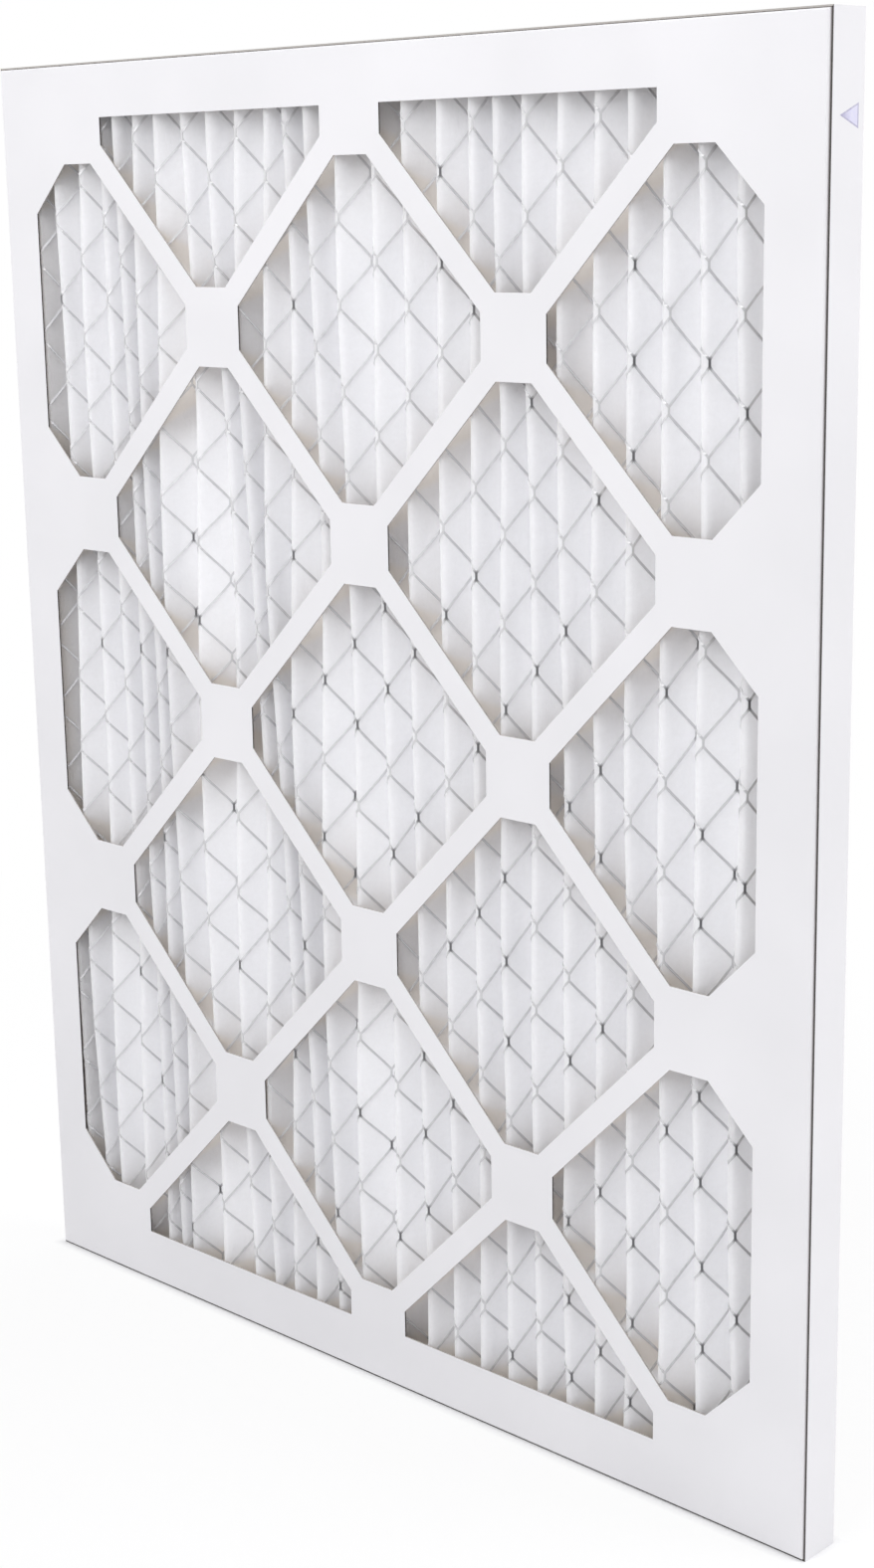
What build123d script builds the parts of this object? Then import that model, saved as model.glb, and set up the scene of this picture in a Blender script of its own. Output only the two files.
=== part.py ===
from build123d import *
import math
import os

# Pleated panel air filter: a sheet of filter media folded into pleats, with a
# support mesh of expanded wire on its front, held between two die-cut paperboard
# trays. Each tray has a lattice of struts for its face. The rear tray's walls
# wrap round the front tray's walls and end a little behind the front face.
#
# Frame: millimetres, X across the panel, Y from the front face to the rear face,
# Z up along the pleats. The origin is in the middle of the bottom edge.

# ---- driving dimensions -----------------------------------------------------

panel_width = 495.3
panel_height = 622.3
panel_depth = 22.2

board = 0.7                  # thickness of the paperboard
nest_clearance = 0.3         # between the front tray's walls and the rear tray's
wall_setback = 1.2           # from the front face to the ends of the rear tray's walls
fold_radius = 0.8            # outside radius where the board is folded
tab_length = 18.0            # glue tabs folded inside the front tray's corners
tab_margin = 1.5             # from a tab to the edges of the wall it is glued to

border = 26.8                # solid border of both faces, from the panel's edge
front_shift = (-2.0, 1.2)    # X and Z from the panel's centre to the front windows' centre
lattice_pitch = 187.6        # from one window to the next in the same row
strut_width = 11.7           # diagonal struts between the windows
node_width = 36.6            # solid square where four struts cross
least_window = 30.0          # a window clipped narrower than this isn't cut

media_thickness = 1.2
media_clearance = 0.15       # from the media to the tray walls, filled by glue
pleat_pitch = 17.2           # the pleats' average width, ridge to ridge
end_pleat = 0.23             # what is left at each end, in pleats
# how wide each pleat came out of the folding, against its neighbours
pleat_rhythm = (16, 16, 17, 17.5, 14, 12, 11.5, 22, 22, 17, 15, 14, 16, 19,
                22, 18.5, 19, 17.5, 15.5, 17, 18, 18, 17, 17.5, 19, 20, 16, 16)

mesh_thickness = 0.5
mesh_gap = 0.05              # film of glue between the mesh and the media
mesh_strand = 0.8            # width of a strand, seen from the front
mesh_bond = 9.0              # length of the bonds where two strands meet
mesh_period = 150.8          # from one bond to the next along a ridge

# ---- sizes that follow ------------------------------------------------------

half_depth = panel_depth / 2
front_face_inside = -half_depth + board
rear_face_inside = half_depth - board
inner_width = panel_width - 2 * (board + nest_clearance)
inner_height = panel_height - 2 * (board + nest_clearance)
inner_depth = panel_depth - board - nest_clearance
cavity_width = inner_width - 2 * board
cavity_height = inner_height - 2 * board
middle_z = panel_height / 2

half_window = (lattice_pitch - node_width) / 2
half_diagonal = (lattice_pitch - strut_width * math.sqrt(2)) / 2


# ---- the face lattice -------------------------------------------------------

def clipped_span(centre, panel_size):
    """How much of a window at this place is left inside the border."""
    limit = panel_size / 2 - border
    return min(centre + half_window, limit) - max(centre - half_window, -limit)


def windows():
    """All windows of one face, as a sketch centred on the panel."""
    step = lattice_pitch / 2
    columns = math.ceil(panel_width / lattice_pitch) + 1
    rows = math.ceil(panel_height / lattice_pitch) + 1
    square = Rectangle(2 * half_window, 2 * half_window)
    diamond = Rot(0, 0, 45) * Rectangle(
        half_diagonal * math.sqrt(2), half_diagonal * math.sqrt(2))
    octagon = square & diamond
    inside_border = Rectangle(panel_width - 2 * border, panel_height - 2 * border)
    cut = []
    for column in range(-columns, columns + 1):
        for row in range(-rows, rows + 1):
            if (column + row) % 2:
                continue
            x = column * step
            z = row * step
            if clipped_span(x, panel_width) < least_window:
                continue
            if clipped_span(z, panel_height) < least_window:
                continue
            cut.append(Pos(x, z) * octagon & inside_border)
    return Sketch() + cut


def window_cutter(shift_x=0.0, shift_z=0.0):
    """The windows as prisms that run right through the panel, along Y."""
    origin = (shift_x, -panel_depth, middle_z + shift_z)
    plane = Plane(origin=origin, x_dir=(1, 0, 0), z_dir=(0, -1, 0))
    return extrude(plane * windows(), amount=-2 * panel_depth)


# ---- the trays --------------------------------------------------------------

def tray(width, height, depth, face_y, inward):
    """One folded tray: a face at face_y and four walls that run inward from it."""
    middle_y = face_y + inward * depth / 2
    body = Pos(0, middle_y, middle_z) * Box(width, depth, height)
    folds = body.edges().filter_by(lambda edge: abs(edge.center().Y - face_y) < 1e-6)
    body = fillet(folds, fold_radius)
    hollow_y = middle_y + inward * board
    body -= Pos(0, hollow_y, middle_z) * Box(width - 2 * board, depth, height - 2 * board)
    return body


def glue_tabs():
    """Four tabs from the front tray's short walls, glued inside its long walls."""
    width_y = inner_depth - board - 2 * tab_margin
    y = front_face_inside + tab_margin + width_y / 2
    x = cavity_width / 2 - board / 2
    tab = Box(board, width_y, tab_length)
    tabs = []
    for side in (-1, 1):
        tabs.append(Pos(side * x, y, middle_z - cavity_height / 2 + tab_length / 2) * tab)
        tabs.append(Pos(side * x, y, middle_z + cavity_height / 2 - tab_length / 2) * tab)
    return tabs


front_tray = tray(inner_width, inner_height, inner_depth, -half_depth, 1)
front_tray = front_tray - window_cutter(*front_shift) + glue_tabs()
rear_tray = tray(panel_width, panel_height, panel_depth - wall_setback, half_depth, -1)
rear_tray = rear_tray - window_cutter()


# ---- the pleats -------------------------------------------------------------

media_half_width = cavity_width / 2 - board - media_clearance
media_height = cavity_height - 2 * media_clearance
media_bottom = middle_z - media_height / 2
mesh_outside = mesh_gap + mesh_thickness
# every fold is creased sharp on its inside, so its middle line turns about there
crease_radius = media_thickness / 2
ridge_centre_y = front_face_inside + media_clearance + mesh_outside + media_thickness
valley_centre_y = rear_face_inside - media_clearance - media_thickness
to_front = Vector(0, -1)


def fold_places():
    """X of every fold from left to right: valley, ridge, valley and so on."""
    count = max(2, round(2 * media_half_width / pleat_pitch - 2 * end_pleat))
    widths = [pleat_rhythm[i % len(pleat_rhythm)] for i in range(count)]
    ends = end_pleat * sum(widths) / count
    reach = media_half_width - crease_radius
    scale = 2 * reach / (sum(widths) + 2 * ends)
    ridges = [-reach + ends * scale]
    for width in widths:
        ridges.append(ridges[-1] + width * scale)
    places = [-reach]
    for left, right in zip(ridges, ridges[1:]):
        places += [left, (left + right) / 2]
    places += [ridges[-1], reach]
    return places


folds_x = fold_places()
ridges_x = folds_x[1::2]
fold_centres = [Vector(x, ridge_centre_y if i % 2 else valley_centre_y)
                for i, x in enumerate(folds_x)]


def fold_side(i):
    """1 where the front of the media is outside the fold (ridge), -1 in a valley."""
    return 1 if i % 2 else -1


def flank_normal(i):
    """The unit normal, pointing to the front, of the flank from fold i to the next."""
    along = fold_centres[i + 1] - fold_centres[i]
    # the flank is the inner tangent of two circles, one on each side of it
    lean = math.asin(2 * crease_radius / along.length)
    angle = math.atan2(along.Y, along.X) - fold_side(i + 1) * lean
    return Vector(math.sin(angle), -math.cos(angle))


# fold i lies between normals[i] and normals[i + 1], and the end flaps face the front
normals = [to_front] + [flank_normal(i) for i in range(len(folds_x) - 1)] + [to_front]


def rise(i, offset):
    """How far in front of fold i's centre a surface at this offset passes it."""
    return offset + fold_side(i) * crease_radius


def to_walls(points):
    """The points, with the ends of the two flaps that reach the tray's walls."""
    return ([Vector(-media_half_width, points[0].Y)] + points
            + [Vector(media_half_width, points[-1].Y)])


def media_line(side):
    """The outline of the media's front (side 1) or back (side -1), from left to right."""
    offset = side * media_thickness / 2
    corners = []
    arcs = []
    for i, centre in enumerate(fold_centres):
        height = rise(i, offset)
        if fold_side(i) == side:
            start = centre + normals[i] * height
            top = centre + (normals[i] + normals[i + 1]).normalized() * height
            end = centre + normals[i + 1] * height
            arcs.append(ThreePointArc(start, top, end))
            corners += [start, end]
        else:
            corners += [centre, centre]
    points = to_walls(corners)
    return [Line(a, b) for a, b in zip(points[::2], points[1::2])] + arcs


def pleated_solid(front_edges, back_edges):
    """The sheet between two pleated lines, standing up along Z."""
    ends = []
    for x in (-media_half_width, media_half_width):
        points = [edge @ at for edge in front_edges + back_edges for at in (0, 1)]
        at_wall = [point for point in points if abs(point.X - x) < 1e-6]
        ends.append(Line(at_wall[0], at_wall[-1]))
    section = make_face(front_edges + back_edges + ends)
    return extrude(Pos(0, 0, media_bottom) * section, amount=media_height, dir=(0, 0, 1))


pleated_media = pleated_solid(media_line(1), media_line(-1))


# ---- the support mesh -------------------------------------------------------

def corner(i, offset, left, right):
    """Where two flat stretches with these normals meet at fold i."""
    return fold_centres[i] + (left + right) * (rise(i, offset) / (1 + left.dot(right)))


def mesh_line(offset):
    """The mesh's strands lie flat over each ridge, and bend once in each valley."""
    points = []
    for i in range(len(fold_centres)):
        if fold_side(i) > 0:
            points.append(corner(i, offset, normals[i], to_front))
            points.append(corner(i, offset, to_front, normals[i + 1]))
        else:
            points.append(corner(i, offset, normals[i], normals[i + 1]))
    points = to_walls(points)
    return [Line(a, b) for a, b in zip(points, points[1:])]


def mesh_holes():
    """The mesh's six-sided holes, seen from the front and centred on the panel."""
    columns = [folds_x[0]] + ridges_x + [folds_x[-1]]
    rows = math.ceil(panel_height / mesh_period) + 1
    side_half = mesh_bond / 2
    tip_half = (mesh_period - mesh_bond) / 2
    holes = []
    for k in range(1, len(columns) - 1):
        left = columns[k - 1] + mesh_strand
        middle = columns[k]
        right = columns[k + 1] - mesh_strand
        for row in range(-rows, rows + 1):
            z = (row + (k % 2) / 2) * mesh_period
            holes.append(Polyline(
                (left, z - side_half), (left, z + side_half), (middle, z + tip_half),
                (right, z + side_half), (right, z - side_half), (middle, z - tip_half),
                close=True))
    return [make_face(hole.edges()) for hole in holes]


def support_mesh_solid():
    sheet = pleated_solid(
        mesh_line(media_thickness / 2 + mesh_outside),
        mesh_line(media_thickness / 2 + mesh_gap))
    outline = Rectangle(2 * panel_width, media_height)
    pattern = outline - mesh_holes()
    plane = Plane(origin=(0, -panel_depth, middle_z), x_dir=(1, 0, 0), z_dir=(0, -1, 0))
    return sheet & extrude(plane * pattern, amount=-2 * panel_depth)


support_mesh = support_mesh_solid()

# ---- files ------------------------------------------------------------------

nodes = {
    "front_tray": front_tray,
    "rear_tray": rear_tray,
    "pleated_media": pleated_media,
    "support_mesh": support_mesh,
}

os.makedirs("parts", exist_ok=True)
for name, solid in nodes.items():
    solid.label = name
    export_step(solid, f"parts/{name}.step")
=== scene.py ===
"""The looks of a pleated panel air filter: white paperboard trays, folded media and expanded mesh.

Everything is in metres, in the part's own frame: X across the panel, Y from the front
face to the rear face, Z up along the pleats, with the origin under the panel's middle.
"""

import math
import random

import bpy
import numpy as np
from mathutils import Matrix, Vector


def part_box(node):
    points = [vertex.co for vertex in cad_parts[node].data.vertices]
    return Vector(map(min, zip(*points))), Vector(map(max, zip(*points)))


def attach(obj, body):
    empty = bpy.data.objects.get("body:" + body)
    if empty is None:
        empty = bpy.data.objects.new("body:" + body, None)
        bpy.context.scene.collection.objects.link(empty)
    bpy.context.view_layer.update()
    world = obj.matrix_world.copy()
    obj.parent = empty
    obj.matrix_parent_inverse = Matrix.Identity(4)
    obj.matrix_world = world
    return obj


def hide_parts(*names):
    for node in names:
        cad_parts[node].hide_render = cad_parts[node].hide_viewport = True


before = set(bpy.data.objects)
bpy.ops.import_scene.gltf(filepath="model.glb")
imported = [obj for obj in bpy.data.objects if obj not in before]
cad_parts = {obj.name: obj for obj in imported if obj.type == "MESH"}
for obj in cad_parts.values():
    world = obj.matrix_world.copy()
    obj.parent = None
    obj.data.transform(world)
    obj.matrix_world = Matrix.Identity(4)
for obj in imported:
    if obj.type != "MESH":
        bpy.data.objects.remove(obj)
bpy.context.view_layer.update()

MM = 0.001

# ---- sizes taken from the frame -----------------------------------------------------

REAR_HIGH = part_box("rear_tray")[1]
MEDIA_LOW, MEDIA_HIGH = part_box("pleated_media")
MESH_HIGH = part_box("support_mesh")[1]
PANEL_HEIGHT = REAR_HIGH.z
MIDDLE_Z = PANEL_HEIGHT / 2

# ---- sizes of the trays --------------------------------------------------------------

BOARD = 0.7 * MM                 # thickness of the paperboard
CORNER_REACH = 0.85 * MM         # a little more than the radius of the board's folds
LATTICE_PITCH = 187.6 * MM       # between the front windows in a row or column
WINDOW_REACH = 85.5 * MM         # from a window's middle to its diamond's corner
BORDER = 26.8 * MM
FRONT_SHIFT = (-2.0 * MM, 1.2 * MM)  # from the panel's centre to the front windows'
CLOSE = 0.1 * MM                 # places of a CAD mesh this close are the same place
SAME_DEPTH = 0.01 * MM           # and this close in Y, for the points of one crease

# ---- sizes of the media --------------------------------------------------------------

MEDIA_THICKNESS = 1.2 * MM
CREASE_RADIUS = 1.3 * MM         # of the media's middle line, softer than in the CAD
ARC_POINTS = 5                   # round one fold
FLANK_POINTS = 4                 # between two folds
ROW_STEP = 7.8 * MM              # between two rows of the media's grid
WANDER = 2.6 * MM                # how far a fold strays from its straight line
OWN_WANDER = 0.1                 # share of that which a fold does on its own
HELD_FOLDS = 5.0                 # folds next to each wall that stray less and less
FLANK_BOW = 0.7 * MM             # how far a flank bulges
# a flank's bulge as waves up the panel: height, share of the phase, radians per metre
BOW_WAVES = ((1.0, 1.0, 48.0), (0.6, 2.3, 95.0))
BOW_SCALE = 0.6                  # brings the waves' highest sum to about 1

# ---- sizes and shades of the mesh ----------------------------------------------------

COLUMNS_PER_PLEAT = 3            # columns of the mesh's bonds from ridge to ridge
MESH_PERIOD = 37.7 * MM          # from one bond to the next in a column
BOND_LENGTH = 3.4 * MM
BOND_WIDTH = 1.0 * MM
BOND_HEIGHT_EVEN = 11.6 * MM     # of the bonds in even columns, over the panel's middle
BOND_JITTER = 0.5 * MM
COLUMN_JITTER = 0.02             # how far a bond strays from its column, in columns
COLUMN_DRIFT = (-0.08, 0.28)     # how far the columns are off at the left, and its growth
ROWS_EACH_WAY = 10               # from the panel's middle; more than the mesh holds
STRAND_WIDTH = 1.05 * MM
STRAND_THICKNESS = 0.35 * MM
STRAND_START = 0.42 * BOND_LENGTH    # from a bond's middle to the end of its strands
STRAND_PLACES = np.array([0.0, 0.09, 0.25, 0.5, 0.75, 0.91, 1.0])
STRAND_CURL = 0.15               # how much a strand bends like an S between its bonds
STRAND_TILT = 0.2                # how far its flat side is turned, in radians
MESH_LIFT = 0.02 * MM            # between the media and the mesh

SHADE = "wire_shade"             # attribute: how dark each point of the mesh is, as painted shade and a darkening towards the bottom right
STRAND_SHADE = {-1: 0.17, 1: 0.10}  # strands that lean left catch less light
DARKEN_LOW_RIGHT = 0.20                      # how much darker the strands get towards the bottom right
DARKEN_AT_LEFT = 0.3                  # share of that at the panel's left
# painted shade of the bonds: dark ones in shadow, light ones catching light
DARK_BOND, LIGHT_BOND = 0.9, 0.22
DARK_SHARE = (0.06, 0.42)        # share of dark bonds at the left, and its growth
DARK_BELOW = 0.65                # share of the height below which more bonds are dark
DARK_LOW, DARK_HIGH = 1.5, 0.5   # factors on the share below and above that

# ---- colours ------------------------------------------------------------------------

COAT_WHITES = (0.72, 0.716, 0.735, 1), (0.755, 0.75, 0.77, 1)
COAT_SPECK = (0.695, 0.685, 0.695, 1)
INK_FILL, INK_WET, INK_LINE = (0.62, 0.61, 0.78, 1), (0.33, 0.31, 0.50, 1), (0.36, 0.34, 0.50, 1)
KRAFT_BROWNS = (0.66, 0.56, 0.48, 1), (0.50, 0.40, 0.32, 1)
# the dark greys are painted shade: cut edges that lie in shadowed gaps at the trays' seams and the
# windows
SHADED_EDGE_GREYS = (0.08, 0.075, 0.072, 1), (0.04, 0.037, 0.035, 1)
PALE_EDGE_GREYS = (0.46, 0.44, 0.42, 1), (0.36, 0.34, 0.32, 1)
FELT_WHITES = (0.93, 0.93, 0.94, 1), (0.975, 0.975, 0.985, 1)
FELT_FIBRE = (0.91, 0.91, 0.92, 1)
# painted bounce light: the kraft tint that the felt takes from the front board's brown back
FELT_BOUNCE_TINT = (0.955, 0.935, 0.91, 1)
ZINC_GREYS = (0.80, 0.80, 0.81, 1), (0.70, 0.70, 0.72, 1)
# the wire's colour at full painted shade
SHADED_WIRE = (0.06, 0.06, 0.065, 1)
FLOOR_COLOUR = (0.79, 0.79, 0.80, 1)
AMBIENT_COLOUR = (0.995, 0.99, 1.0, 1)
PURE_WHITE = (1, 1, 1, 1)

rng = random.Random(20)


# ---- nodes for materials and the world -----------------------------------------------

class Shader:
    """Builds one node tree, with short names for the nodes that these looks use."""

    def __init__(self, owner, output="ShaderNodeOutputMaterial"):
        owner.use_nodes = True
        self.owner = owner
        self.tree = owner.node_tree
        self.tree.nodes.clear()
        self.output = self.add(output)

    def add(self, kind, **settings):
        node = self.tree.nodes.new(kind)
        for key, value in settings.items():
            setattr(node, key, value)
        return node

    def link(self, source, target):
        self.tree.links.new(source, target)

    def feed(self, socket, value):
        if isinstance(value, bpy.types.NodeSocket):
            self.link(value, socket)
        else:
            socket.default_value = value

    def principled(self, **inputs):
        node = self.add("ShaderNodeBsdfPrincipled")
        for key, value in inputs.items():
            self.feed(node.inputs[key.replace("_", " ")], value)
        return node

    def position(self):
        return self.add("ShaderNodeTexCoord").outputs["Object"]

    def scaled(self, vector, scale):
        node = self.add("ShaderNodeMapping")
        self.link(vector, node.inputs["Vector"])
        node.inputs["Scale"].default_value = scale
        return node.outputs["Vector"]

    def noise(self, vector, scale, detail=3.0, roughness=0.5):
        node = self.add("ShaderNodeTexNoise")
        self.link(vector, node.inputs["Vector"])
        node.inputs["Scale"].default_value = scale
        node.inputs["Detail"].default_value = detail
        node.inputs["Roughness"].default_value = roughness
        return node.outputs["Fac"]

    def math(self, operation, a, b=0.0, clamp=False):
        node = self.add("ShaderNodeMath", operation=operation, use_clamp=clamp)
        self.feed(node.inputs[0], a)
        self.feed(node.inputs[1], b)
        return node.outputs["Value"]

    def ramp(self, value, low, high, to_low=0.0, to_high=1.0):
        node = self.add("ShaderNodeMapRange", clamp=True)
        self.feed(node.inputs["Value"], value)
        for key, number in (("From Min", low), ("From Max", high),
                            ("To Min", to_low), ("To Max", to_high)):
            node.inputs[key].default_value = number
        return node.outputs["Result"]

    def mix(self, factor, a, b):
        node = self.add("ShaderNodeMix", data_type="RGBA")
        self.feed(node.inputs[0], factor)
        self.feed(node.inputs[6], a)
        self.feed(node.inputs[7], b)
        return node.outputs[2]

    def bump(self, height, distance, strength=1.0, normal=None):
        node = self.add("ShaderNodeBump")
        node.inputs["Strength"].default_value = strength
        node.inputs["Distance"].default_value = distance
        self.link(height, node.inputs["Height"])
        if normal is not None:
            self.link(normal, node.inputs["Normal"])
        return node.outputs["Normal"]

    def mix_shaders(self, factor, a, b):
        node = self.add("ShaderNodeMixShader")
        self.feed(node.inputs["Fac"], factor)
        self.link(a, node.inputs[1])
        self.link(b, node.inputs[2])
        return node.outputs["Shader"]

    def finish(self, shader):
        self.link(shader, self.output.inputs["Surface"])
        return self.owner


def material_shader(name):
    return Shader(bpy.data.materials.new(name))


def coated_board():
    """White clay-coated paperboard, with the printed airflow triangle on its right wall."""
    s = material_shader("coated_board")
    where = s.position()
    fibre = s.noise(where, 900.0, detail=4.0, roughness=0.6)
    cloud = s.noise(where, 14.0, detail=2.0)
    wave = s.noise(s.scaled(where, (1.0, 1.0, 0.45)), 9.0, detail=1.0)
    white = s.mix(s.ramp(cloud, 0.35, 0.7), *COAT_WHITES)
    specked = s.mix(s.ramp(fibre, 0.58, 0.75, 0.0, 0.25), white, COAT_SPECK)
    colour = airflow_triangle(s, where, specked)
    surface = s.bump(wave, 0.6 * MM, 0.5)
    surface = s.bump(fibre, 0.02 * MM, 0.6, surface)
    return s.finish(s.principled(
        Base_Color=colour, Roughness=0.62, Specular_IOR_Level=0.35,
        Normal=surface).outputs["BSDF"])


TRIANGLE_TIP = (-5.0 * MM, 583.7 * MM)   # (y, z) of its tip, which points to the front
TRIANGLE_LENGTH = 12.0 * MM
TRIANGLE_HALF = 4.7 * MM                 # half the width of its base
TRIANGLE_LINE = 0.7 * MM                 # width of its outline
PRINT_DEPTH = 0.2 * MM                   # how deep under the wall's outside it still shows


def airflow_triangle(s, where, board):
    """The board's colour, with a faint violet triangle printed on the right wall.

    It is drawn from the distance to its sides, and its ink is thicker near the tip.
    """
    split = s.add("ShaderNodeSeparateXYZ")
    s.link(where, split.inputs["Vector"])
    along = s.math("SUBTRACT", split.outputs["Y"], TRIANGLE_TIP[0])
    across = s.math("ABSOLUTE", s.math("SUBTRACT", split.outputs["Z"], TRIANGLE_TIP[1]))
    width = s.math("MULTIPLY", along, TRIANGLE_HALF / TRIANGLE_LENGTH)
    slant = s.math("SUBTRACT", width, across)
    base = s.math("SUBTRACT", TRIANGLE_LENGTH, along)
    depth = s.math("MINIMUM", slant, base)
    on_wall = s.math("GREATER_THAN", split.outputs["X"], REAR_HIGH.x - PRINT_DEPTH)
    printed = s.math("MULTIPLY", s.math("GREATER_THAN", depth, 0.0), on_wall)
    outline = s.math("LESS_THAN", depth, TRIANGLE_LINE)
    wet = s.ramp(along, TRIANGLE_LENGTH * 0.1, TRIANGLE_LENGTH * 0.6, 0.9, 0.0)
    fill = s.mix(wet, INK_FILL, INK_WET)
    ink = s.mix(outline, fill, INK_LINE)
    worn = s.ramp(s.noise(where, 700.0, detail=3.0), 0.3, 0.75, 0.95, 0.6)
    return s.mix(s.math("MULTIPLY", printed, worn), board, ink)


def kraft_board(name, light, dark):
    """Bare fibrous board: the trays' brown inside, and their cut edges in two greys, of which the
    dark one is painted shade of the gaps they lie in.
    """
    s = material_shader(name)
    where = s.position()
    fibre = s.noise(s.scaled(where, (1.0, 1.0, 3.0)), 500.0, detail=5.0, roughness=0.65)
    cloud = s.noise(where, 30.0, detail=2.0)
    streaked = s.mix(s.ramp(fibre, 0.3, 0.7), dark, light)
    colour = s.mix(s.ramp(cloud, 0.3, 0.7, 0.0, 0.4), streaked, light)
    surface = s.bump(fibre, 0.05 * MM, 0.8)
    return s.finish(s.principled(
        Base_Color=colour, Roughness=0.9, Specular_IOR_Level=0.2, Normal=surface).outputs["BSDF"])


BOUNCE_FADE = 3.0 * MM             # from a window's edge to the full painted bounce tint, under the board
THROUGH_SHARE = 0.66             # share of the light that the felt lets through


def under_board(s, where):
    """0 in the front tray's windows and 1 well under its board, where the felt gets a painted
    kraft-coloured bounce light.
    """
    split = s.add("ShaderNodeSeparateXYZ")
    s.link(where, split.inputs["Vector"])
    x = s.math("SUBTRACT", split.outputs["X"], FRONT_SHIFT[0])
    z = s.math("SUBTRACT", split.outputs["Z"], MIDDLE_Z + FRONT_SHIFT[1])
    # how far a point is from the nearest window's middle, along each diagonal
    rising = s.math("PINGPONG", s.math("ADD", x, z), LATTICE_PITCH / 2)
    falling = s.math("PINGPONG", s.math("SUBTRACT", x, z), LATTICE_PITCH / 2)
    strut = s.math("SUBTRACT", s.math("MAXIMUM", rising, falling), WINDOW_REACH)
    side = s.math("SUBTRACT", s.math("ABSOLUTE", x), REAR_HIGH.x - BORDER)
    end = s.math("SUBTRACT", s.math("ABSOLUTE", z), MIDDLE_Z - BORDER)
    inside = s.math("MAXIMUM", strut, s.math("MAXIMUM", side, end))
    return s.ramp(inside, 0.0, BOUNCE_FADE)


def nonwoven_media():
    """Thin white felt of polyester fibre: matt, fibrous, and lets some light through."""
    s = material_shader("nonwoven_media")
    where = s.position()
    fibres = s.noise(s.scaled(where, (1.0, 1.0, 0.35)), 1500.0, detail=5.0, roughness=0.7)
    tangle = s.noise(where, 420.0, detail=4.0, roughness=0.65)
    crumple = s.noise(s.scaled(where, (1.0, 1.0, 0.3)), 110.0, detail=3.0)
    white = s.mix(s.ramp(tangle, 0.3, 0.7), *FELT_WHITES)
    untinted = s.mix(s.ramp(fibres, 0.62, 0.8, 0.0, 0.3), white, FELT_FIBRE)
    # painted bounce light: a kraft tint on the felt under the front board
    colour = s.mix(under_board(s, where), untinted, FELT_BOUNCE_TINT)
    surface = s.bump(crumple, 0.9 * MM, 0.6)
    surface = s.bump(tangle, 0.18 * MM, 0.7, surface)
    surface = s.bump(fibres, 0.05 * MM, 0.7, surface)
    felt = s.principled(
        Base_Color=colour, Roughness=0.95, Specular_IOR_Level=0.1,
        Sheen_Weight=0.15, Sheen_Roughness=0.5, Normal=surface)
    through = s.add("ShaderNodeBsdfTranslucent")
    s.link(colour, through.inputs["Color"])
    s.link(surface, through.inputs["Normal"])
    return s.finish(s.mix_shaders(
        THROUGH_SHARE, felt.outputs["BSDF"], through.outputs["BSDF"]))


def galvanised_wire():
    """Dull zinc-coated steel, with painted shade from the wire_shade attribute, which also darkens
    the strands towards the bottom right.
    """
    s = material_shader("galvanised_wire")
    where = s.position()
    spangle = s.noise(where, 260.0, detail=3.0)
    grit = s.noise(where, 2200.0, detail=2.0)
    shade = s.add("ShaderNodeAttribute", attribute_name=SHADE).outputs["Fac"]
    zinc = s.mix(s.ramp(spangle, 0.3, 0.7), *ZINC_GREYS)
    # painted shade: the wire_shade attribute darkens the zinc
    colour = s.mix(shade, zinc, SHADED_WIRE)
    surface = s.bump(grit, 0.03 * MM, 0.6)
    rough = s.ramp(spangle, 0.3, 0.7, 0.42, 0.6)
    return s.finish(s.principled(
        Base_Color=colour, Metallic=0.2, Roughness=rough, Normal=surface).outputs["BSDF"])


# ---- the trays, which keep their CAD meshes -------------------------------------------

OUTWARD = 0.3                    # part of a normal that makes a face look that way


def on_outside(low, high, centre, normal):
    """Whether a face of a tray looks out of its box, so that it has the white coat."""
    return any(
        (normal[k] > OUTWARD and centre[k] > high[k] - CORNER_REACH)
        or (normal[k] < -OUTWARD and centre[k] < low[k] + CORNER_REACH)
        for k in range(3))


COAT, KRAFT, SHADED_EDGE, PALE_EDGE = range(4)  # material slots of both trays


def paint_tray(node, open_side, materials):
    """White outside, kraft inside, and cut edges with painted shade on the walls and in the
    windows.

    The walls' cut edges are painted dark as shade in their gaps, but for the top wall's, and the
    windows' are pale but for the upright ones, which are painted dark as shade too.
    """
    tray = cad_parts[node]
    low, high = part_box(node)
    rim, face = (high.y, low.y) if open_side > 0 else (low.y, high.y)
    top_rim = high.z - MM
    tray.data.materials.clear()
    for material in materials:
        tray.data.materials.append(material)
    for polygon in tray.data.polygons:
        centre, normal = polygon.center, polygon.normal
        if normal.y * open_side > 0.5:
            # painted shade: the rims' cut edges are dark, but for the lit top rim
            edge = SHADED_EDGE if centre.z < top_rim else PALE_EDGE
            polygon.material_index = edge if abs(centre.y - rim) < CLOSE else KRAFT
        elif on_outside(low, high, centre, normal):
            polygon.material_index = COAT
        else:
            in_window = abs(normal.y) < 0.1 and abs(centre.y - face) < BOARD
            # painted shade: the windows' upright cut edges are dark, the others pale
            edge = SHADED_EDGE if abs(normal.x) > 0.9 else PALE_EDGE
            polygon.material_index = edge if in_window else KRAFT


# ---- the folds, read from the CAD media ----------------------------------------------

def crease_places(y):
    """X of the sharp creases that the CAD media has at this depth."""
    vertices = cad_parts["pleated_media"].data.vertices
    near_wall = MEDIA_HIGH.x - CLOSE
    found = sorted(v.co.x for v in vertices
                   if abs(v.co.y - y) < SAME_DEPTH and abs(v.co.x) < near_wall)
    places = []
    for x in found:
        if not places or x - places[-1] > MM:
            places.append(x)
    return places


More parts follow.
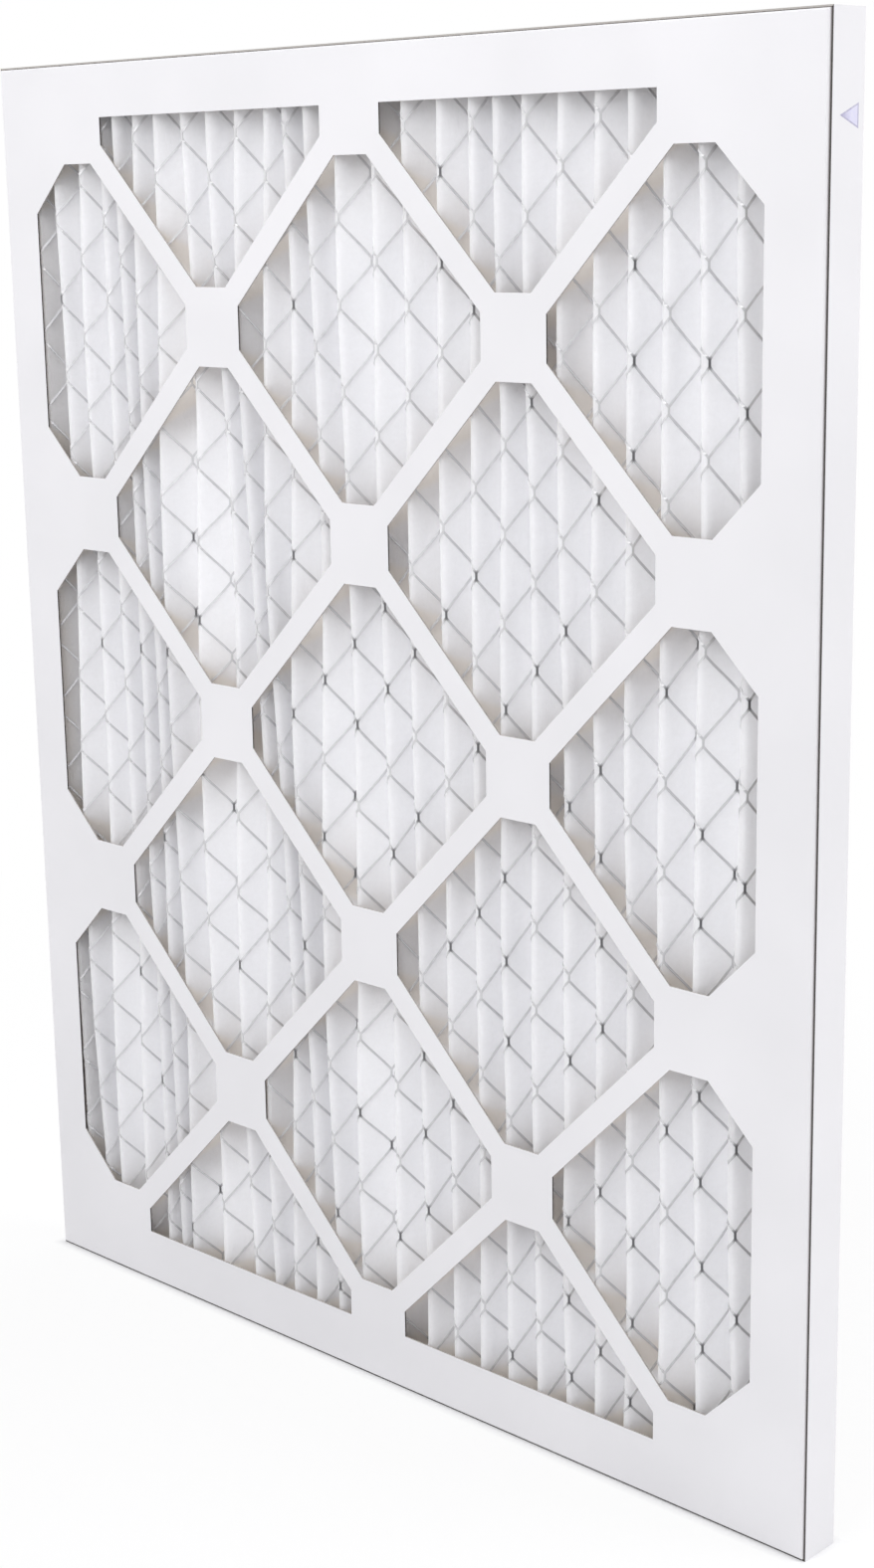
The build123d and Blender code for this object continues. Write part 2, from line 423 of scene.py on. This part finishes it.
RIDGE_Y = MEDIA_LOW.y + MEDIA_THICKNESS
VALLEY_Y = MEDIA_HIGH.y - MEDIA_THICKNESS
RIDGES = crease_places(RIDGE_Y)
VALLEYS = crease_places(VALLEY_Y)
PLEATS = len(RIDGES) - 1
FOLDS = np.array(sorted(RIDGES + VALLEYS))
IS_RIDGE = np.isin(FOLDS, RIDGES)
FOLD_SIDE = np.where(IS_RIDGE, 1.0, -1.0)

# Slow waves make neighbouring folds stray together. Each has its turns up the panel, its
# turns across the folds and a phase. The two quicker waves that each fold has to itself
# have no turns across.
SLOW_UP, SLOW_ACROSS, OWN_UP = (0.6, 1.7), (4.0, 9.0), (2.0, 5.0)
slow_waves = [(rng.uniform(*SLOW_UP), rng.uniform(*SLOW_ACROSS), rng.uniform(0, math.tau))
              for _ in range(5)]
own_waves = [[(rng.uniform(*OWN_UP), rng.uniform(0, math.tau)) for _ in range(2)]
             for _ in FOLDS]


def stray(z):
    """How far each fold lies from its straight line at this height."""
    up = z / PANEL_HEIGHT
    index = np.arange(len(FOLDS))
    shift = np.zeros(len(FOLDS))
    for turns, across, phase in slow_waves:
        shift += np.sin(math.tau * (turns * up + across * index / len(FOLDS)) + phase)
    shift *= WANDER / math.sqrt(len(slow_waves))
    for k, waves in enumerate(own_waves):
        for turns, phase in waves:
            shift[k] += OWN_WANDER * WANDER * math.sin(math.tau * turns * up + phase)
    from_wall = np.minimum(index, index[::-1])
    return shift * np.clip(from_wall / HELD_FOLDS, 0.0, 1.0)


bow_phases = [rng.uniform(0, math.tau) for _ in range(len(FOLDS) - 1)]


def media_line(z):
    """The media's middle line at this height, from wall to wall, as an array of (x, y)."""
    x = FOLDS + stray(z)
    depth = CREASE_RADIUS - MEDIA_THICKNESS / 2
    y = np.where(IS_RIDGE, RIDGE_Y + depth, VALLEY_Y - depth)
    along = np.stack([np.diff(x), np.diff(y)], 1)
    length = np.hypot(along[:, 0], along[:, 1])
    lean = np.arcsin(2 * CREASE_RADIUS / length)
    turn = np.arctan2(along[:, 1], along[:, 0]) - FOLD_SIDE[1:] * lean
    turn = np.concatenate([[0.0], turn, [0.0]])      # the end flaps face the front
    points = [(MEDIA_LOW.x, y[0] + CREASE_RADIUS)]
    for k in range(len(FOLDS)):
        for step in range(ARC_POINTS):
            angle = turn[k] + (turn[k + 1] - turn[k]) * step / (ARC_POINTS - 1)
            reach = FOLD_SIDE[k] * CREASE_RADIUS
            points.append((x[k] + math.sin(angle) * reach, y[k] - math.cos(angle) * reach))
        if k < len(FOLDS) - 1:
            points += flank_points(k, turn[k + 1], points[-1], x, y, z)
    points.append((MEDIA_HIGH.x, y[-1] + CREASE_RADIUS))
    return np.array(points)


def flank_points(k, turn, start, x, y, z):
    """The points between fold k and the next, on a flank that bulges a little."""
    reach = FOLD_SIDE[k + 1] * CREASE_RADIUS
    end = (x[k + 1] + math.sin(turn) * reach, y[k + 1] - math.cos(turn) * reach)
    normal = (math.sin(turn), -math.cos(turn))
    waves = sum(height * math.sin(share * bow_phases[k] + z * rate)
                for height, share, rate in BOW_WAVES)
    bow = FLANK_BOW * BOW_SCALE * waves
    points = []
    for step in range(1, FLANK_POINTS + 1):
        t = step / (FLANK_POINTS + 1)
        out = bow * math.sin(math.pi * t)
        points.append((start[0] + (end[0] - start[0]) * t + normal[0] * out,
                       start[1] + (end[1] - start[1]) * t + normal[1] * out))
    return points


def line_normals(line):
    """Unit normals of a line of points, pointing to the front."""
    tangent = np.gradient(line, axis=0)
    tangent /= np.linalg.norm(tangent, axis=1)[:, None]
    return np.stack([tangent[:, 1], -tangent[:, 0]], 1)


# ---- making meshes ----------------------------------------------------------------

def make_piece(name, vertices, faces, material, smooth=True):
    """A mesh that rides on the part's one body."""
    mesh = bpy.data.meshes.new(name)
    mesh.from_pydata(vertices, [], faces)
    mesh.materials.append(material)
    mesh.polygons.foreach_set("use_smooth", [smooth] * len(mesh.polygons))
    mesh.update()
    piece = bpy.data.objects.new(name, mesh)
    bpy.context.scene.collection.objects.link(piece)
    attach(piece, "root")
    return piece


def media_sheet(material):
    """The whole folded sheet: front and back skins, closed along its four edges."""
    rows = round((MEDIA_HIGH.z - MEDIA_LOW.z) / ROW_STEP)
    heights = np.linspace(MEDIA_LOW.z, MEDIA_HIGH.z, rows + 1)
    skins = []
    for side in (1, -1):
        for z in heights:
            line = media_line(z)
            skin = line + line_normals(line) * side * MEDIA_THICKNESS / 2
            skin[:, 0] = np.clip(skin[:, 0], MEDIA_LOW.x, MEDIA_HIGH.x)
            skin[:, 1] = np.clip(skin[:, 1], MEDIA_LOW.y, MEDIA_HIGH.y)
            skins.append(np.column_stack([skin, np.full(len(skin), z)]))
    count = len(skins[0])
    vertices = np.concatenate(skins)
    back = len(heights) * count
    faces = []
    for row in range(rows):
        for k in range(count - 1):
            a = row * count + k
            faces.append((a, a + 1, a + count + 1, a + count))
            b = back + a
            faces.append((b, b + count, b + count + 1, b + 1))
    for k in range(count - 1):
        low, high = k, rows * count + k
        faces.append((low, back + low, back + low + 1, low + 1))
        faces.append((high, high + 1, back + high + 1, back + high))
    for row in range(rows):
        left, right = row * count, row * count + count - 1
        faces.append((left, left + count, back + left + count, back + left))
        faces.append((right, back + right, back + right + count, right + count))
    return make_piece("filter_media", vertices.tolist(), faces, material)


# ---- the expanded mesh --------------------------------------------------------------

SURFACE_STEP = 2.5 * MM          # between the heights at which the surface is sampled
SAMPLES_PER_COLUMN = 24
SPARE_COLUMNS = 1.6              # sampled beyond the outermost ridges


class FrontSurface:
    """The media's front skin, addressed by column and height.

    Columns count along the folded sheet: each ridge is COLUMNS_PER_PLEAT after the last,
    and the columns between two ridges share the sheet's length there.
    """

    def __init__(self):
        self.first = -SPARE_COLUMNS
        self.last = COLUMNS_PER_PLEAT * PLEATS + SPARE_COLUMNS
        self.columns = np.linspace(
            self.first, self.last, round((self.last - self.first) * SAMPLES_PER_COLUMN))
        rows = round((MEDIA_HIGH.z - MEDIA_LOW.z) / SURFACE_STEP)
        self.heights = np.linspace(MEDIA_LOW.z, MEDIA_HIGH.z, rows + 1)
        self.grid = np.array([self.sample_row(z) for z in self.heights])

    def sample_row(self, z):
        line = media_line(z)
        normals = line_normals(line)
        skin = line + normals * MEDIA_THICKNESS / 2
        steps = np.hypot(*np.diff(skin, axis=0).T)
        run = np.concatenate([[0.0], np.cumsum(steps)])
        # each fold takes ARC_POINTS and each flank FLANK_POINTS, after the flap's end
        tips = 1 + np.arange(len(FOLDS)) * (ARC_POINTS + FLANK_POINTS) + ARC_POINTS // 2
        ridge_run = run[tips[IS_RIDGE]]
        pleat = (ridge_run[-1] - ridge_run[0]) / PLEATS
        knots = np.concatenate([[ridge_run[0] - pleat], ridge_run, [ridge_run[-1] + pleat]])
        at = np.arange(-1, PLEATS + 2) * COLUMNS_PER_PLEAT
        wanted = np.interp(self.columns, at, knots)
        return np.stack([np.interp(wanted, run, values) for values in (*skin.T, *normals.T)], 1)

    def at(self, column, z):
        """Points on the skin and the skin's normals, for arrays of columns and heights."""
        u = (np.asarray(column) - self.first) / (self.last - self.first)
        v = (np.asarray(z) - self.heights[0]) / (self.heights[-1] - self.heights[0])
        u, v = u * (len(self.columns) - 1), v * (len(self.heights) - 1)
        u0 = np.clip(u.astype(int), 0, len(self.columns) - 2)
        v0 = np.clip(v.astype(int), 0, len(self.heights) - 2)
        fu = np.clip(u - u0, 0, 1)[:, None]
        fv = np.clip(v - v0, 0, 1)[:, None]
        low = self.grid[v0, u0] * (1 - fu) + self.grid[v0, u0 + 1] * fu
        high = self.grid[v0 + 1, u0] * (1 - fu) + self.grid[v0 + 1, u0 + 1] * fu
        found = low * (1 - fv) + high * fv
        points = np.column_stack([found[:, 0], found[:, 1], z])
        normals = np.column_stack([found[:, 2], found[:, 3], np.zeros(len(found))])
        normals /= np.linalg.norm(normals, axis=1)[:, None]
        return points, normals


def ribbon(points, normals, width, thickness, tilt):
    """A flat bar along the points: its vertices, four to each point, and its faces."""
    tangent = np.gradient(points, axis=0)
    tangent /= np.linalg.norm(tangent, axis=1)[:, None]
    side = np.cross(tangent, normals)
    side /= np.linalg.norm(side, axis=1)[:, None]
    up = np.cross(side, tangent)
    across = side * np.cos(tilt)[:, None] + up * np.sin(tilt)[:, None]
    rise = up * np.cos(tilt)[:, None] - side * np.sin(tilt)[:, None]
    lift = thickness / 2 * np.cos(tilt) + width / 2 * np.abs(np.sin(tilt))
    middle = points + normals * (lift + MESH_LIFT)[:, None]
    corners = [middle + across * sx * width / 2 + rise * sy * thickness / 2
               for sx, sy in ((-1, -1), (1, -1), (1, 1), (-1, 1))]
    vertices = np.stack(corners, 1).reshape(-1, 3)
    faces = []
    for k in range(len(points) - 1):
        for c in range(4):
            d = (c + 1) % 4
            faces.append((4 * k + c, 4 * k + d, 4 * k + 4 + d, 4 * k + 4 + c))
    last = 4 * (len(points) - 1)
    faces.append((3, 2, 1, 0))
    faces.append((last, last + 1, last + 2, last + 3))
    return vertices, faces


def bond_places():
    """For each (column, row) that the mesh holds, its bond's true column and its height."""
    places = {}
    reach = MESH_HIGH.z - MIDDLE_Z - BOND_LENGTH / 2 - MM
    last = COLUMNS_PER_PLEAT * PLEATS + 1
    for column in range(-1, last + 1):
        # the mesh was rolled on a little out of step with the folds
        drift = COLUMN_DRIFT[0] + COLUMN_DRIFT[1] * (column + 1) / (last + 1)
        for row in range(-ROWS_EACH_WAY, ROWS_EACH_WAY + 1):
            z = BOND_HEIGHT_EVEN + (row + 0.5 * (column % 2)) * MESH_PERIOD
            z += rng.uniform(-1, 1) * BOND_JITTER
            across = column + drift + rng.uniform(-COLUMN_JITTER, COLUMN_JITTER)
            if abs(z) < reach:
                places[column, row] = (across, MIDDLE_Z + z)
    return places


def bond_shade(column, z):
    """Bonds get painted shade here and there, mostly low down and on the panel's right."""
    share = DARK_SHARE[0] + DARK_SHARE[1] * column / (COLUMNS_PER_PLEAT * PLEATS)
    share *= DARK_LOW if z < DARK_BELOW * PANEL_HEIGHT else DARK_HIGH
    return DARK_BOND if rng.random() < share else LIGHT_BOND


def strand_shade(step, column, z):
    """How dark a strand is: painted shade by the way it leans, and darker towards the bottom
    right.
    """
    right = column / (COLUMNS_PER_PLEAT * PLEATS)
    low = 1 - z / PANEL_HEIGHT
    return STRAND_SHADE[step] + DARKEN_LOW_RIGHT * low * (DARKEN_AT_LEFT + (1 - DARKEN_AT_LEFT) * right)


def mesh_sheet(material):
    """Every strand and bond of the expanded mesh, folded over the media."""
    surface = FrontSurface()
    bonds = bond_places()
    vertices, faces, shades = [], [], []
    count = 0

    def keep(columns, heights, width, tilt, shade):
        nonlocal count
        points, normals = surface.at(columns, heights)
        corners, quads = ribbon(points, normals, width, STRAND_THICKNESS, tilt)
        vertices.append(corners)
        faces.extend([tuple(count + i for i in quad) for quad in quads])
        shades.extend(np.repeat(shade, 4))
        count += len(corners)

    # painted shade of each bond
    shade_of = {place: bond_shade(place[0], bonds[place][1]) for place in bonds}
    for (column, row), (across, z) in bonds.items():
        heights = z + np.linspace(-0.5, 0.5, 3) * BOND_LENGTH
        keep(np.full(3, across), heights, BOND_WIDTH, np.zeros(3),
             np.full(3, shade_of[column, row]))
        # two strands go up from here, to the bonds half a period higher
        above = row + (column % 2)
        for step in (-1, 1):
            end = (column + step, above)
            if end not in bonds:
                continue
            end_across, end_z = bonds[end]
            t = STRAND_PLACES
            swing = (1 - STRAND_CURL) * t + STRAND_CURL * t * t * (3 - 2 * t)
            heights = z + STRAND_START + t * (end_z - z - 2 * STRAND_START)
            columns = across + (end_across - across) * swing
            # painted shade along the strand, with the bonds' painted shade at its ends
            shade = np.full(len(t), strand_shade(step, column, z))
            shade[0], shade[-1] = shade_of[column, row], shade_of[end]
            tilt = STRAND_TILT * step * np.sin(math.pi * t)
            keep(columns, heights, STRAND_WIDTH, tilt, shade)
    piece = make_piece("expanded_mesh", np.concatenate(vertices).tolist(), faces,
                       material, smooth=False)
    attribute = piece.data.attributes.new(SHADE, "FLOAT", "POINT")
    attribute.data.foreach_set("value", np.array(shades, np.float32))
    return piece


# ---- the studio ---------------------------------------------------------------------

CAMERA_PLACE = (0.7892, -0.7859, 0.5578)
CAMERA_YAW = 43.893              # degrees to the left of straight at the front face
CAMERA_PITCH = -13.319
CAMERA_ROLL = -1.023
FOCAL_PIXELS = 2499.4
PICTURE_HEIGHT = 1576            # in pixels, and the longer side of the picture
SENSOR = 36.0                    # in millimetres, along that side

AMBIENT = 0.585                  # strength of the world's light
# each lamp's name, place, target, size and power in watts
LAMPS = (
    ("key", (0.0, -1.25, 1.75), (0.0, 0.0, 0.45), (1.2, 1.2), 24.2),
    ("side", (1.8, 0.9, 1.6), (0.25, 0.0, 0.4), (1.2, 1.6), 28.0),
    ("back", (-0.5, 2.0, 1.2), (0.0, 0.0, 0.32), (2.0, 2.0), 21.0))

FLOOR_HALF = 6.0                 # half the floor's width
# shares of plain white in the floor, for the rays that show the backdrop
WHITE_AT_FOOT = 0.1              # at the panel's foot, where the floor keeps its shadow
FOOT_REACH = 6.0 * MM            # how far from the foot that share has grown to 1
WHITE_AROUND = 0.86              # around the panel, where the softer shadow falls
AROUND_FROM, AROUND_TO = 0.3, 1.0    # from the middle, between which it grows to 1


def add_camera():
    data = bpy.data.cameras.new("camera")
    data.sensor_width = SENSOR
    data.lens = FOCAL_PIXELS * SENSOR / PICTURE_HEIGHT
    data.clip_start = 0.01
    camera = bpy.data.objects.new("camera", data)
    turn = (Matrix.Rotation(math.radians(CAMERA_YAW), 4, "Z")
            @ Matrix.Rotation(math.radians(90 + CAMERA_PITCH), 4, "X")
            @ Matrix.Rotation(math.radians(CAMERA_ROLL), 4, "Z"))
    camera.matrix_world = Matrix.Translation(CAMERA_PLACE) @ turn
    bpy.context.scene.collection.objects.link(camera)
    bpy.context.scene.camera = camera


def area_light(name, place, target, size, power):
    data = bpy.data.lights.new(name, "AREA")
    data.shape = "RECTANGLE"
    data.size, data.size_y = size
    data.energy = power
    lamp = bpy.data.objects.new(name, data)
    lamp.location = place
    lamp.rotation_euler = (Vector(target) - Vector(place)).to_track_quat("-Z", "Y").to_euler()
    bpy.context.scene.collection.objects.link(lamp)


def seen_by(s, *rays):
    """1 for these kinds of rays, and 0 for all others."""
    path = s.add("ShaderNodeLightPath")
    seen = path.outputs[rays[0]]
    for ray in rays[1:]:
        seen = s.math("ADD", seen, path.outputs[ray], clamp=True)
    return seen


def add_world():
    """Even light from all sides, and a white backdrop."""
    world = bpy.data.worlds.new("studio")
    bpy.context.scene.world = world
    s = Shader(world, "ShaderNodeOutputWorld")
    lit, white = s.add("ShaderNodeBackground"), s.add("ShaderNodeBackground")
    lit.inputs["Color"].default_value = AMBIENT_COLOUR
    lit.inputs["Strength"].default_value = AMBIENT
    white.inputs["Color"].default_value = PURE_WHITE
    white.inputs["Strength"].default_value = 1.0
    # the wire's gloss shows the white backdrop too, but the felt isn't lit through by it
    seen = seen_by(s, "Is Camera Ray", "Is Glossy Ray")
    s.finish(s.mix_shaders(seen, lit.outputs["Background"], white.outputs["Background"]))


def floor_look():
    """As white as the backdrop, but for the panel's shadow."""
    s = material_shader("studio_floor")
    lit = s.add("ShaderNodeBsdfDiffuse")
    lit.inputs["Color"].default_value = FLOOR_COLOUR
    white = s.add("ShaderNodeEmission")
    white.inputs["Strength"].default_value = 1.0
    away = s.add("ShaderNodeVectorMath", operation="LENGTH")
    s.link(s.position(), away.inputs[0])
    around = s.ramp(away.outputs["Value"], AROUND_FROM, AROUND_TO, WHITE_AROUND, 1.0)
    split = s.add("ShaderNodeSeparateXYZ")
    s.link(s.position(), split.inputs["Vector"])
    beside = s.math("SUBTRACT", s.math("ABSOLUTE", split.outputs["X"]), REAR_HIGH.x)
    before = s.math("SUBTRACT", s.math("ABSOLUTE", split.outputs["Y"]), REAR_HIGH.y)
    from_foot = s.math("MAXIMUM", beside, before)
    near = s.ramp(from_foot, 0.0, FOOT_REACH, WHITE_AT_FOOT, 1.0)
    share = s.math("MINIMUM", near, around)
    seen = seen_by(s, "Is Camera Ray", "Is Glossy Ray", "Is Transmission Ray")
    return s.finish(s.mix_shaders(
        s.math("MULTIPLY", share, seen), lit.outputs["BSDF"], white.outputs["Emission"]))


def add_floor():
    mesh = bpy.data.meshes.new("floor")
    half = FLOOR_HALF
    corners = [(-half, -half, 0), (half, -half, 0), (half, half, 0), (-half, half, 0)]
    mesh.from_pydata(corners, [], [(0, 1, 2, 3)])
    mesh.materials.append(floor_look())
    floor = bpy.data.objects.new("floor", mesh)
    bpy.context.scene.collection.objects.link(floor)


# ---- putting it together --------------------------------------------------------------

board_looks = (
    coated_board(),
    kraft_board("kraft_board", *KRAFT_BROWNS),
    kraft_board("shaded_cut_edge", *SHADED_EDGE_GREYS),
    kraft_board("pale_edge", *PALE_EDGE_GREYS))
paint_tray("front_tray", 1, board_looks)
paint_tray("rear_tray", -1, board_looks)

media = media_sheet(nonwoven_media())
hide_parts("pleated_media")

expanded = mesh_sheet(galvanised_wire())
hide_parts("support_mesh")

add_camera()
add_floor()
add_world()
for lamp in LAMPS:
    area_light(*lamp)

bpy.context.scene.view_settings.view_transform = "Standard"
